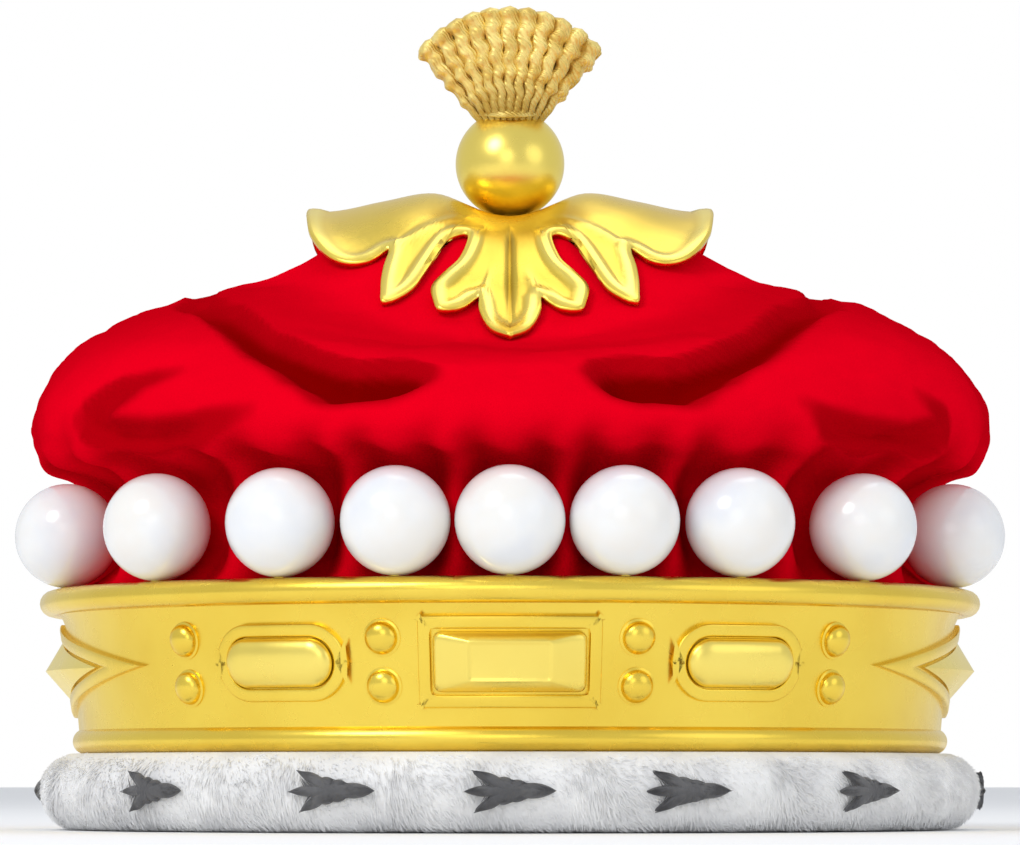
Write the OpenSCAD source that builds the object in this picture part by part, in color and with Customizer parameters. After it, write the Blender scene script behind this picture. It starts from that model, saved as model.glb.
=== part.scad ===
// Coronet: a gilt circlet with raised settings, eighteen pearls on its upper wire, a puffed
// velvet cap inside it, a fur roll below, and a leaf mount, ball and tassel on top.
// Millimetres, +Z up, front towards -Y, origin on the axis at the surface it stands on.

/* [Circlet] */
// Outside radius of the band at its lower wire
band_low_r = 93.5; // [91:0.5:96]
// How much wider the band is at its upper wire, on the radius
band_flare = 4.5; // [3:0.5:5.5]
// Thickness of the band's sheet
band_wall = 1.5; // [1.2:0.1:2]
// Thickness of the round wires along both edges
wire_d = 5.5; // [5:0.5:6.5]
// How far the upper wire stands out past the band
upper_wire_proud = 4.8; // [3:0.2:5]
// How far the lower wire stands out past the band
lower_wire_proud = 2; // [1:0.2:3]
// Height of the raised frames round the settings
frame_rise = 1.3; // [0.8:0.1:1.8]
// Width of the frames' flat border
frame_w = 2.6; // [2:0.1:3]
// Diameter of the round studs
stud_d = 6.8; // [6:0.2:8]
// Distance between the two studs of a pair
stud_pitch = 9.8; // [9:0.2:11]

/* [Settings] */
// Length and height of the oblong settings
oblong_l = 37; // [34:1:41]
oblong_h = 18.6; // [17:0.2:20]
// Length and height of the oval settings
oval_l = 30.4; // [28:0.2:34]
oval_h = 15.8; // [15:0.2:18]
// Length and height of the lozenge settings
lozenge_l = 117; // [80:1:118]
lozenge_h = 20.4; // [18:0.2:21]
// How far the lozenges' points stand out past the band
lozenge_rise = 6; // [4:0.5:7]

/* [Pearls] */
// Diameter of a pearl
pearl_d = 22.4; // [21:0.2:22.6]
// Radius of the circle that the pearls stand on
pearl_ring_r = 98.6; // [98:0.1:99.2]
// Diameter of the post that carries a pearl
post_d = 2.4; // [2:0.1:3]
// How much closer the pearls stand at the front and back than at the sides, in degrees
pearl_crowd = 12.3; // [0:0.1:12.5]

/* [Fur] */
// Thickness of the fur roll
roll_d = 18; // [16:0.5:19]
// Radius of the circle through the middle of the roll
roll_ring_r = 93.6; // [92:0.1:95]

/* [Cap] */
// Thickness of the velvet with its padding
cap_wall = 1.8; // [1.4:0.1:2.2]
// How far the velvet swells out between the pearls
cap_swell = 8.2; // [4:0.2:8.6]
// How deep the folds are, as a share of the depths in the table
fold_share = 1; // [0.4:0.1:1]

/* [Finial] */
// Diameter of the ball
ball_d = 24; // [23:0.5:24.5]
// Length of the tassel's locks from the point that they fan out from
tassel_l = 28.9; // [26:0.1:30]
// How far the tassel spreads to each side, in degrees from upright
tassel_spread = 40; // [34:1:42]
// Half the tassel's thickness from front to back, at its foot and at its top
tassel_foot_y = 7.4; // [6:0.2:8]
tassel_top_y = 9.6; // [8:0.2:11]

/* [Hidden] */
$fn = 96;
gap = 0.15;
cloth_gap = 0.35;
eps = 0.02;

pearl_count = 18;
low_wire_z = 19.2;
up_wire_z = 49.1;
wire_r = wire_d / 2;
circlet_low_z = low_wire_z - wire_r;
circlet_top_z = up_wire_z + wire_r;
up_wire_ring_r = band_low_r + band_flare + upper_wire_proud - wire_r;
low_wire_ring_r = band_low_r + lower_wire_proud - wire_r;
band_mid_z = (low_wire_z + up_wire_z) / 2 + 0.4;
band_lean = atan(band_flare / (up_wire_z - low_wire_z));

pearl_r = pearl_d / 2;
pearl_z = up_wire_z + sqrt((pearl_r + wire_r + gap) ^ 2 - (up_wire_ring_r - pearl_ring_r) ^ 2);
post_top_z = pearl_z + 1;

roll_r = roll_d / 2;
roll_z = roll_r - 0.4;
roll_top_z = 15.9;

ball_z = 146.4;
ball_r = ball_d / 2;
tassel_apex_z = ball_z + 4.1;

// Azimuths of the settings and of the tails, counted from the front towards +X.
OBLONG_AT = [0, 180];
OVAL_AT = [29.2, 150.8, 209.2, 330.8];
LOZENGE_AT = [90, 270];
STUDS_AT = [15.6, 44, 136, 164.4, 195.6, 224, 316, 344.4];
TAILS_AT = [0, 20.5, 46, 93, 134, 159.5, 180, 200.5, 226, 267, 314, 339.5];
BRIGHT_GILT = [0.95, 0.85, 0.42];

function two_digits(n) = n < 10 ? str("0", n) : str(n);
PEARLS = [for (i = [1:pearl_count]) str("pearl_", two_digits(i))];
TAILS = [for (i = [1:len(TAILS_AT)]) str("ermine_tail_", two_digits(i))];
OBLONGS = [for (i = [1:len(OBLONG_AT)]) str("oblong_boss_", i)];
OVALS = [for (i = [1:len(OVAL_AT)]) str("oval_boss_", i)];
LOZENGES = [for (i = [1:len(LOZENGE_AT)]) str("lozenge_boss_", i)];

// Radius of the band's outer face and of its inner face at a height.
function band_r(z) = band_low_r + band_flare * (z - low_wire_z) / (up_wire_z - low_wire_z);
function inside_r(z) = band_r(z) - band_wall;
// Radius of the velvet collar, which lines the circlet with a small gap.
function collar_r(z) = inside_r(z) - cloth_gap;

// Azimuth of a place on the ring of pearls, counted in even turns from the front.
function crowding(turn) = pearl_crowd * (sin(2 * turn) - sin(4 * turn) / 8);
function azimuth(turn) = turn - crowding(turn);
// The same backwards, from the azimuth.
function turn_at(a, t = undef, tries = 14) =
    tries == 0 ? t : turn_at(a, a + crowding(is_undef(t) ? a : t), tries - 1);
function pearl_azimuth(i) = azimuth(i * 360 / pearl_count);

function mix(a, b, t) = a + (b - a) * t;
function polar(a, r, z) = [r * sin(a), -r * cos(a), z];
function unit(v) = v / norm(v);

// A smooth curve through the rows of a table, at row number t.
function through(rows, t) =
    let (last = len(rows) - 1, i = min(floor(t), last - 1), f = t - i,
         p0 = rows[max(i - 1, 0)], p1 = rows[i], p2 = rows[i + 1], p3 = rows[min(i + 2, last)])
    0.5 * (2 * p1 + (p2 - p0) * f + (2 * p0 - 5 * p1 + 4 * p2 - p3) * f ^ 2
           + (3 * p1 - p0 - 3 * p2 + p3) * f ^ 3);

// Sections of the cap from its middle to its lower edge: the radius and height seen from the
// front, at the sides, then those of the front and back, then the share of the swell.
// side_r, side_z, front_r, front_z, swell
CAP_SECTIONS = [
    [0, 131.8, 0, 131.8, 0],
    [8, 133.8, 7, 132, 0],
    [17, 137.9, 14, 131.4, 0],
    [28, 135.1, 23, 127.8, 0],
    [42, 126.4, 33, 119.6, 0],
    [54, 120.2, 42, 110.9, 0],
    [64, 117.9, 51, 104.4, 0],
    [76, 115, 63, 100.8, 0],
    [86, 110.7, 75.5, 98.6, 0],
    [95, 104.5, 87, 95.2, 0],
    [101.3, 97.2, 95.5, 90.6, 0],
    [104.3, 90, 100.5, 85.6, 0.05],
    [103.9, 83.2, 101.6, 81.6, 0.1],
    [101.2, 78.2, 98.8, 78, 0.15],
    [94, 75.8, 92.2, 75.6, 0.25],
    [86.4, 71.2, 86.4, 71.2, 0.6],
    [84.8, 65, 84.8, 65, 1],
    [86, 58.8, 86, 58.8, 0.95],
    [90.6, 54.2, 90.6, 54.2, 0.45],
    [95.2, 51, 95.2, 51, 0.05],
    [collar_r(46), 46, collar_r(46), 46, 0],
    [collar_r(32), 32, collar_r(32), 32, 0],
    [collar_r(roll_top_z + gap), roll_top_z + gap, collar_r(roll_top_z + gap), roll_top_z + gap, 0],
];

// Folds of the cap's front half, each a valley along its rows. The back half has them turned
// half a turn round the axis.
// azimuth, section, depth, half-width
FOLD_RIGHT_CREASE = [[88, 6.2, 2, 4.5], [68.4, 6.9, 3.6, 4.5], [57, 7.1, 4.2, 5],
                     [45, 7.8, 4.6, 5], [34.7, 8.6, 5, 5.5], [26.4, 9.3, 6, 6],
                     [21, 9.7, 7.2, 7], [16, 9.5, 8.4, 7.5]];
FOLD_LEFT_CREASE = [for (row = FOLD_RIGHT_CREASE) [-row[0], row[1], row[2], row[3]]];
FOLD_LEFT_CRESCENT = [[-46, 9.8, 1, 4], [-53, 10.5, 2.4, 4.5], [-59, 11.4, 3.2, 5],
                      [-54, 12.2, 3.2, 5], [-46, 12.4, 3, 5], [-39, 12, 2.4, 4.5],
                      [-32, 11.2, 1, 4]];
FOLD_RIGHT_CRESCENT = [[37, 10.9, 1, 4], [40, 11.8, 2.4, 4.5], [46, 12.4, 3.2, 5],
                       [54, 12.5, 3.2, 5], [61, 12, 3, 5], [62, 11.3, 2, 4.5],
                       [58, 10.6, 1, 4]];
FOLDS = [FOLD_RIGHT_CREASE, FOLD_LEFT_CREASE, FOLD_LEFT_CRESCENT, FOLD_RIGHT_CRESCENT];

// Radius and height of the unfolded cap at a section, in a direction given in even turns.
function cap_rz(turn, t) =
    let (s = through(CAP_SECTIONS, t), w = sin(azimuth(turn)) ^ 2,
         out = cap_swell * s[4] * sin(turn * pearl_count / 2) ^ 4)
    [mix(s[2], s[0], w) + out, mix(s[3], s[1], w)];
// Its outward direction there.
function cap_normal(turn, t) =
    let (d = cap_rz(turn, t + eps) - cap_rz(turn, max(t - eps, 0)), n = unit([-d[1], d[0]]))
    polar(azimuth(turn), n[0], n[1]);
function cap_plain(turn, t, lift = 0) =
    let (s = cap_rz(turn, t)) polar(azimuth(turn), s[0], s[1]) + lift * cap_normal(turn, t);

FOLD_LINES = [for (fold = FOLDS)
    [for (row = fold) [cap_plain(turn_at(row[0]), row[1]), row[2], row[3]]]];

// Depth of one stretch of a fold at the point p.
function stretch_depth(p, a, b) =
    let (ab = b[0] - a[0], k = min(max((p - a[0]) * ab / (ab * ab), 0), 1),
         d = norm(p - a[0] - k * ab))
    mix(a[1], b[1], k) * exp(-(d / mix(a[2], b[2], k)) ^ 2);
function fold_depth(p) =
    fold_share * max([for (line = FOLD_LINES) for (i = [1:len(line) - 1])
                      for (q = [p, [-p[0], -p[1], p[2]]]) stretch_depth(q, line[i - 1], line[i])]);
function cap_point(turn, t, inward = 0) =
    let (p = cap_plain(turn, t)) p - (fold_depth(p) + inward) * cap_normal(turn, t);

cap_columns = 4 * pearl_count;
cap_last = len(CAP_SECTIONS) - 1;
CAP_OUTER_T = [1, 2, 3, 4, 5, 5.9, 6.8, 7.7, 8.6, 9.4, 10.2, 11, 11.8, 12.6, 13.3, 15, 16.5, 18, 19,
               20, cap_last];
CAP_INNER_T = [cap_last, 20, 19, 18, 16.5, 15, 13.3, 12.6, 11.8, 11, 10.2, 9.4, 8.6, 7.7, 6.8, 5.9,
               5, 3, 2];

module ring_at(angles) {
    for (a = angles)
        rotate([0, 0, a])
            children();
}

// Lays what is drawn flat, X along the band and Y up it, upright at the front of the band.
module on_front(r, z = band_mid_z) {
    translate([0, -r, z])
        rotate([90, 0, 0])
            children();
}

// The solid cone under the band's outer face, grown by a distance.
module band_core(grow) {
    translate([0, 0, circlet_low_z - 5])
        cylinder(r1 = band_r(circlet_low_z - 5) + grow, r2 = band_r(circlet_top_z + 5) + grow,
                 h = circlet_top_z - circlet_low_z + 10, $fn = 240);
}

module oblong_outline(inset, corner = 1.2) {
    l = oblong_l - 2 * inset;
    h = oblong_h - 2 * inset;
    square([l - 2 * corner, h], center = true);
    square([l, h - 2 * corner], center = true);
    for (x = [-1, 1], y = [-1, 1])
        translate([x * (l / 2 - corner), y * (h / 2 - corner)])
            circle(corner);
}

module oval_outline(inset) {
    r = oval_h / 2 - inset;
    half = (oval_l - oval_h) / 2;
    square([2 * half, 2 * r], center = true);
    for (x = [-half, half])
        translate([x, 0])
            circle(r);
}

module lozenge_outline(inset) {
    shrink = 1 - 2 * inset * norm([lozenge_l, lozenge_h]) / (lozenge_l * lozenge_h);
    polygon([[lozenge_l / 2, 0], [0, lozenge_h / 2], [-lozenge_l / 2, 0], [0, -lozenge_h / 2]]
            * shrink);
}

// A raised frame: the outline given as the first child, less the second, cut from a thin shell.
module frame() {
    behind = 30;
    ahead = 8;
    intersection() {
        on_front(band_r(band_mid_z) - behind)
            linear_extrude(behind + ahead)
                difference() {
                    children(0);
                    children(1);
                }
        difference() {
            band_core(frame_rise);
            band_core(-band_wall / 2);
        }
    }
}

module band_profile() {
    difference() {
        union() {
            polygon([[inside_r(circlet_low_z) - 2, low_wire_z], [band_r(low_wire_z), low_wire_z],
                     [band_r(up_wire_z), up_wire_z], [inside_r(circlet_low_z) - 2, up_wire_z]]);
            translate([low_wire_ring_r, low_wire_z])
                circle(wire_r);
            translate([up_wire_ring_r, up_wire_z])
                circle(wire_r);
        }
        polygon([[80, circlet_low_z - 5], [inside_r(circlet_low_z - 5), circlet_low_z - 5],
                 [inside_r(circlet_top_z + 5), circlet_top_z + 5], [80, circlet_top_z + 5]]);
    }
}

// A stud is a low dome on a short foot that stands through the band's face.
module stud(z) {
    foot = 0.5;
    dome = 2.3;
    r = stud_d / 2;
    dome_r = (r ^ 2 + dome ^ 2) / (2 * dome);
    on_front(band_r(z) - band_wall / 2, z)
        rotate_extrude()
            intersection() {
                translate([0, band_wall / 2 + foot + dome - dome_r])
                    circle(dome_r);
                square([r, 2 * stud_d]);
            }
}

module circlet() color([0.90, 0.78, 0.30]) {
    rotate_extrude()
        band_profile();
    for (side = [-1, 1])
        ring_at(STUDS_AT)
            stud(band_mid_z + side * stud_pitch / 2);
    ring_at(OBLONG_AT)
        frame() {
            oblong_outline(0);
            oblong_outline(frame_w);
        }
    ring_at(OVAL_AT)
        frame() {
            oval_outline(0);
            oval_outline(frame_w);
        }
    ring_at(LOZENGE_AT)
        frame() {
            lozenge_outline(0);
            lozenge_outline(frame_w);
        }
    for (i = [0:pearl_count - 1])
        translate(polar(pearl_azimuth(i), pearl_ring_r, up_wire_z))
            cylinder(d = post_d, h = post_top_z - up_wire_z);
}

// A slab with sloped ends: base_w wide at the band, top_w wide at its top.
module sloped_slab(base_w, top_w, rise, across) {
    foot = 4;
    slope = (base_w - top_w) / 2 / rise;
    rotate([90, 0, 0])
        linear_extrude(across, center = true)
            polygon([[-base_w / 2 - foot * slope, -foot], [base_w / 2 + foot * slope, -foot],
                     [top_w / 2, rise], [-top_w / 2, rise]]);
}

// The oblong boss is shaped like a table-cut stone.
module oblong_boss(i) color(BRIGHT_GILT) rotate([0, 0, OBLONG_AT[i]]) {
    rise = 3.4;
    base_l = oblong_l - 2 * frame_w - 0.8;
    base_h = oblong_h - 2 * frame_w - 1.9;
    difference() {
        on_front(band_r(band_mid_z))
            rotate([-band_lean, 0, 0])
                intersection() {
                    sloped_slab(base_l, 0.57 * base_l, rise, base_h);
                    rotate([0, 0, 90])
                        sloped_slab(base_h - 0.6, 0.57 * base_h, rise, base_l);
                    cube([base_l, base_h, 4 * rise], center = true);
                }
        band_core(gap);
    }
}

// A point over the band: u mm along it, v up it, lifted off it.
function on_band(u, v, lift) =
    let (z = band_mid_z + v * cos(band_lean), r = band_r(z) + lift)
    polar(u / band_r(band_mid_z) * 180 / PI, r, z);

// A boss that rises off the band in steps: its outline, and how much the outline has shrunk at
// each height. The underside follows the band.
module stepped_boss(outline, steps, crown) {
    n = len(outline);
    under_lift = 0.8;
    under = [for (share = [0.25:0.25:0.75]) [share, under_lift]];
    rings = concat(under, [[1, gap + 0.4]], steps);
    rows = len(rings);
    top = rows * n + 1;
    polyhedron(
        concat([for (ring = rings) for (p = outline) on_band(p[0] * ring[0], p[1] * ring[0], ring[1])],
               [on_band(0, 0, under_lift), on_band(0, 0, crown)]),
        concat(
            [for (j = [0:rows - 2], i = [0:n - 1])
                [(j + 1) * n + i, (j + 1) * n + (i + 1) % n, j * n + (i + 1) % n, j * n + i]],
            [for (i = [0:n - 1]) [rows * n, i, (i + 1) % n]],
            [for (i = [0:n - 1]) [top, (rows - 1) * n + (i + 1) % n, (rows - 1) * n + i]]));
}

// The oval boss is a long cabochon.
// share of the outline, height
OVAL_STEPS = [[1, 1], [0.9, 2.3], [0.58, 3.1]];
oval_crown = 3.4;
module oval_boss(i) color(BRIGHT_GILT) rotate([0, 0, OVAL_AT[i]]) {
    r = oval_h / 2 - frame_w - 2 * gap;
    half = (oval_l - oval_h) / 2;
    stepped_boss([for (a = [-90:30:60]) [half + r * cos(a), r * sin(a)],
                  for (x = [1, 0, -1]) [half * x, r],
                  for (a = [120:30:240]) [-half + r * cos(a), r * sin(a)],
                  for (x = [-1, 0]) [half * x, -r]], OVAL_STEPS, oval_crown);
}

// The lozenge boss is a four-sided point whose ridges follow the band.
// share of the outline, height
LOZENGE_STEPS = [[1, 1], [0.66, 2.5], [0.33, 4.2]];
module lozenge_boss(i) color(BRIGHT_GILT) rotate([0, 0, LOZENGE_AT[i]]) {
    clear = 0.8;
    shrink = 1 - 2 * (frame_w + clear) * norm([lozenge_l, lozenge_h]) / (lozenge_l * lozenge_h);
    half_l = asin(lozenge_l / 2 / band_r(band_mid_z)) * PI / 180 * band_r(band_mid_z) * shrink;
    half_h = lozenge_h / 2 * shrink;
    side = 4;
    corners = [[half_l, 0], [0, half_h], [-half_l, 0], [0, -half_h]];
    stepped_boss([for (c = [0:3], k = [0:side - 1]) mix(corners[c], corners[(c + 1) % 4], k / side)],
                 LOZENGE_STEPS, lozenge_rise);
}

module pearl(i) color([0.95, 0.95, 0.94])
    difference() {
        translate(polar(pearl_azimuth(i), pearl_ring_r, pearl_z))
            sphere(pearl_r);
        translate(polar(pearl_azimuth(i), pearl_ring_r, pearl_z - pearl_r - 1))
            cylinder(d = post_d + 2 * gap, h = pearl_r + 1 + post_top_z - pearl_z + gap);
    }

// The roll's section: round outside, straight inside, flat where it stands, and grooved on top
// for the circlet's lower wire.
module roll_profile() {
    inner_r = collar_r(roll_top_z) - cap_wall;
    difference() {
        union() {
            translate([roll_ring_r, roll_z])
                circle(roll_r);
            polygon([[inner_r + 1.5, 1.2], [roll_ring_r, 0.6], [roll_ring_r, roll_top_z],
                     [inner_r, roll_top_z], [inner_r, 2.7]]);
        }
        translate([low_wire_ring_r, low_wire_z])
            circle(wire_r + gap);
        translate([roll_ring_r - 15, -2])
            square([30, 2]);
        translate([inner_r - 15, -2])
            square([15, 25]);
        translate([inner_r - 1, roll_top_z])
            square([band_r(circlet_low_z) - inner_r - 0.5, 5]);
    }
}

module ermine_roll() color([0.95, 0.95, 0.95])
    rotate_extrude()
        roll_profile();

// A point over the roll: u mm along it towards +X, v mm up round it, lifted off it.
function on_roll(a, u, v, lift) =
    let (w = v / roll_r * 180 / PI, r = roll_ring_r + (roll_r + lift) * cos(w))
    polar(a + u / (roll_ring_r + roll_r) * 180 / PI, r, roll_z + (roll_r + lift) * sin(w));

// Outline of a tail as it lies on the roll: three short points and a long one.
// direction from the tail's middle, reach
TAIL_OUTLINE = [[0, 9.4], [22, 3.9], [75, 2], [132, 3.1], [156, 8.8], [167, 4.6], [181, 9.6],
                [195, 4.5], [208, 8.4], [232, 3], [290, 2], [338, 3.9]];
// Rings of a tail from the middle of its underside to its crown: share of the outline, lift.
TAIL_RINGS = [[0.5, 0.4], [1, 0.3], [0.6, 1.4]];
tail_crown = 1.9;

module ermine_tail(i) color([0.35, 0.35, 0.36]) {
    n = len(TAIL_OUTLINE);
    rows = len(TAIL_RINGS);
    at = TAILS_AT[i];
    polyhedron(
        concat([for (ring = TAIL_RINGS) for (p = TAIL_OUTLINE)
                   on_roll(at, p[1] * ring[0] * cos(p[0]), p[1] * ring[0] * sin(p[0]), ring[1])],
               [on_roll(at, 0, 0, TAIL_RINGS[0][1]), on_roll(at, 0, 0, tail_crown)]),
        concat(
            [for (j = [0:rows - 2], k = [0:n - 1])
                [(j + 1) * n + k, (j + 1) * n + (k + 1) % n, j * n + (k + 1) % n, j * n + k]],
            [for (k = [0:n - 1]) [rows * n, k, (k + 1) % n]],
            [for (k = [0:n - 1]) [rows * n + 1, (rows - 1) * n + (k + 1) % n, (rows - 1) * n + k]]));
}

// The cap is one wall: rings of points down its outside, then back up its inside.
module velvet_cap() color([0.82, 0.02, 0.06]) {
    rings = concat([for (t = CAP_OUTER_T) [t, 0]], [for (t = CAP_INNER_T) [t, cap_wall]]);
    n = cap_columns;
    rows = len(rings);
    points = [for (ring = rings) for (i = [0:n - 1]) cap_point(i * 360 / n, ring[0], ring[1])];
    outer_pole = rows * n;
    polyhedron(
        concat(points, [cap_point(0, 0), cap_point(0, 0) - [0, 0, cap_wall]]),
        concat(
            [for (j = [0:rows - 2], i = [0:n - 1])
                [j * n + i, j * n + (i + 1) % n, (j + 1) * n + (i + 1) % n, (j + 1) * n + i]],
            [for (i = [0:n - 1]) [outer_pole, (i + 1) % n, i]],
            [for (i = [0:n - 1])
                [outer_pole + 1, (rows - 1) * n + i, (rows - 1) * n + (i + 1) % n]]));
}

// Edge of the leaves over the front right quarter, mirrored to the other three. Where a lobe
// overhangs a slot, its edge lies further round than its root.
// azimuth, section of the cap under the edge, height of the edge's top over the velvet, azimuth
// of the root
LEAF_EDGE = [
    [0, 6.5, 1.9, 0], [4.6, 6.02, 1.9, 3.8], [8.3, 5.26, 1.8, 7], [9.2, 4.91, 1.7, 8.4],
    [13.3, 5.28, 1.8, 10.8], [18.2, 5.43, 1.9, 12.8], [20.8, 5.15, 1.9, 13.8],
    [23.2, 4.7, 1.9, 14.6], [21.3, 4.27, 1.8, 15.3], [18.9, 3.95, 1.8, 16],
    [18.4, 3.55, 1.7, 17.4], [19.6, 3.25, 1.7, 19.6], [23.5, 3.26, 1.7, 23.5],
    [26.6, 3.55, 1.7, 26.2], [27.3, 4.6, 1.9, 27], [29, 5.1, 2, 28.8], [31.9, 5.52, 2.2, 31],
    [35.1, 5.09, 2.1, 35.1], [40.4, 4.36, 1.9, 40.4], [44.1, 3.91, 1.8, 44.1],
    [46.3, 4.26, 1.9, 46.3], [50.3, 4.47, 2.3, 50.3], [56.2, 4.49, 3.6, 56.2],
    [66.8, 4.25, 6.3, 66.8], [78, 3.97, 8.2, 78], [90, 3.78, 9.8, 90]];
leaf_root_t = 3;
leaf_t = 1.3;
leaf_off_cap = 0.6;
// How late the leaves curl up on their way out; a high number curls only the tips.
leaf_curl = 7;
leaf_rings = 6;

// Point of the leaves' top, or of their underside, on a ring on the way out to an edge row. The
// rings lie over the cap's own sections as far as the edge lets them.
function leaf_point(row, ring, flip, below) =
    let (t = ring == leaf_rings ? row[1] : min(ring, row[1] * (1 - 0.045 * (leaf_rings - ring))),
         out = max(0, (t - leaf_root_t) / (row[1] - leaf_root_t)) ^ 4,
         rise = mix(leaf_off_cap + leaf_t, row[2], (t / row[1]) ^ leaf_curl))
    cap_plain(turn_at(flip[0] + flip[1] * mix(row[3], row[0], out)), t, rise - below);

// The leaf mount is one shell of four leaves, dished in the middle for the ball.
module leaf_mount() color([0.90, 0.78, 0.30]) {
    half = len(LEAF_EDGE);
    columns = concat(
        [for (row = LEAF_EDGE) [row, [0, 1]]],
        [for (k = [half - 2:-1:0]) [LEAF_EDGE[k], [180, -1]]],
        [for (k = [1:half - 1]) [LEAF_EDGE[k], [180, 1]]],
        [for (k = [half - 2:-1:1]) [LEAF_EDGE[k], [360, -1]]]);
    n = len(columns);
    rings = concat([for (k = [1:leaf_rings]) [k, 0]], [for (k = [leaf_rings:-1:1]) [k, leaf_t]]);
    rows = len(rings);
    polyhedron(
        concat([for (ring = rings) for (c = columns) leaf_point(c[0], ring[0], c[1], ring[1])],
               [cap_plain(0, 0, leaf_off_cap + leaf_t), cap_plain(0, 0, leaf_off_cap)]),
        concat(
            [for (j = [0:rows - 2], i = [0:n - 1])
                [j * n + i, j * n + (i + 1) % n, (j + 1) * n + (i + 1) % n, (j + 1) * n + i]],
            [for (i = [0:n - 1]) [rows * n, (i + 1) % n, i]],
            [for (i = [0:n - 1])
                [rows * n + 1, (rows - 1) * n + i, (rows - 1) * n + (i + 1) % n]]));
}

module finial_ball() color([0.92, 0.80, 0.33])
    translate([0, 0, ball_z])
        sphere(ball_r);

// Rows of locks from front to back: place between the two faces, number of locks.
TASSEL_ROWS = [[-1, 9], [-0.33, 8], [0.33, 9], [1, 8]];
tassel_across = 5;
tassel_head_t = 1.8;

// One lock: side is its place from -1 to 1 across the fan, depth from -1 to 1 through it.
module tassel_lock(side, depth) {
    round_off = sqrt(max(0, 1 - 0.9 * side ^ 2));
    foot_x = 6.2 * side;
    foot_y = tassel_foot_y * depth * round_off;
    foot = [foot_x, foot_y, ball_z + sqrt(ball_r ^ 2 - foot_x ^ 2 - foot_y ^ 2) + 0.8];
    tip = [tassel_l * sin(tassel_spread * side), tassel_top_y * depth * round_off,
           tassel_apex_z + tassel_l * cos(tassel_spread * side)];
    hull()
        for (end = [[0, 0.62], [0.97, 2.05], [1.05, 1.4]])
            translate(mix(foot, tip, end[0]))
                cylinder(r = end[1], h = 0.2, center = true, $fn = 5);
}

module tassel() color([0.97, 0.88, 0.45]) {
    for (row = TASSEL_ROWS, k = [0:row[1] - 1])
        tassel_lock((k - (row[1] - 1) / 2) / tassel_across, row[0]);
    difference() {
        intersection() {
            translate([0, 0, ball_z])
                sphere(ball_r + tassel_head_t, $fn = 24);
            translate([0, 0, ball_z])
                linear_extrude(ball_r + 3)
                    polygon([for (a = [0:20:340]) [7 * cos(a), 8.6 * sin(a)]]);
        }
        translate([0, 0, ball_z])
            sphere(ball_r + gap, $fn = 32);
    }
}

circlet();
ermine_roll();
velvet_cap();
leaf_mount();
finial_ball();
tassel();
for (i = [0:len(OBLONGS) - 1])
    oblong_boss(i);
for (i = [0:len(OVALS) - 1])
    oval_boss(i);
for (i = [0:len(LOZENGES) - 1])
    lozenge_boss(i);
for (i = [0:len(PEARLS) - 1])
    pearl(i);
for (i = [0:len(TAILS) - 1])
    ermine_tail(i);
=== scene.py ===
import math

import bmesh
import bpy
import numpy as np
from bpy.props import FloatProperty, FloatVectorProperty, IntProperty, PointerProperty
from mathutils import Matrix, Vector, noise


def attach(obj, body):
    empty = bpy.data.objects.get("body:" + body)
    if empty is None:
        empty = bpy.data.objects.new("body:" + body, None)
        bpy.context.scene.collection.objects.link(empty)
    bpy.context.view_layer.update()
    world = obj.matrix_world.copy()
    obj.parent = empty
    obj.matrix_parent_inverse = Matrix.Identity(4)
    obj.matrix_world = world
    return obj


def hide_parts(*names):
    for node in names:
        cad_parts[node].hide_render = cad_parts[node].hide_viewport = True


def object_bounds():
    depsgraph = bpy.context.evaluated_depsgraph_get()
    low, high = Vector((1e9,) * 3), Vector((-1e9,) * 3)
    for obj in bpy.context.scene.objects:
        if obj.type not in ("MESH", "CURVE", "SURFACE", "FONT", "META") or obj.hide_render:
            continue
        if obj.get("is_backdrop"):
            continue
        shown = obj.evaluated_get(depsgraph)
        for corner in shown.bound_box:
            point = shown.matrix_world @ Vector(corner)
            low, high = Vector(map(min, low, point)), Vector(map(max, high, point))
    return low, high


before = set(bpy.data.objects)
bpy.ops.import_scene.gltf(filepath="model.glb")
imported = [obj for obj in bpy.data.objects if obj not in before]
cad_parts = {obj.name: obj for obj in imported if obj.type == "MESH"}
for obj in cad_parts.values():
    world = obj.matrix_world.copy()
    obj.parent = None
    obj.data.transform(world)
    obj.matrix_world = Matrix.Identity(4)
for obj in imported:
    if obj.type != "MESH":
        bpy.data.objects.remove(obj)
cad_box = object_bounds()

bl_info = {
    "name": "Coronet",
    "version": (1, 0, 0),
    "blender": (4, 5, 0),
    "location": "3D View > Sidebar > Coronet",
    "description": "Dresses a gilt coronet with its pearls, velvet cap, fur roll and tassel",
    "category": "Object",
}

# Sizes and places in millimetres. Azimuths are in degrees from the front, round by the right.
MM = 0.001

# The circlet: a flaring band between two wires.
LOW_WIRE_Z = 19.2
UP_WIRE_Z = 49.1
WIRE_R = 2.75
LOW_WIRE_RING_R = 92.75
UP_WIRE_RING_R = 100.05
BAND_LOW_R = 93.5
BAND_FLARE = 4.5
BAND_WALL = 1.5
BAND_MID_Z = 34.55

# Frames on the band, length along it and height, and the bosses inside them.
OBLONG_FRAME = (37, 18.6)
OVAL_FRAME = (30.4, 15.8)
LOZENGE_FRAME = (125.8, 20.4)
OBLONG_BOSS = (30.8, 12.2)
OVAL_BOSS_R = 5.05
OVAL_BOSS_HALF = 7.3
LOZENGE_BOSS_HALF = (41.6, 6.75)
STUD_R = 3.4
STUD_RISE = 4.9
STUDS_AT = (15.6, 44, 136, 164.4, 195.6, 224, 316, 344.4)

# Pearls stand on short posts over the upper wire.
PEARL_COUNT = 18
PEARL_RING_R = 98.6
PEARL_Z = 63.12
PEARL_CROWD = 12.3
POST_R = 1.2

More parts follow.
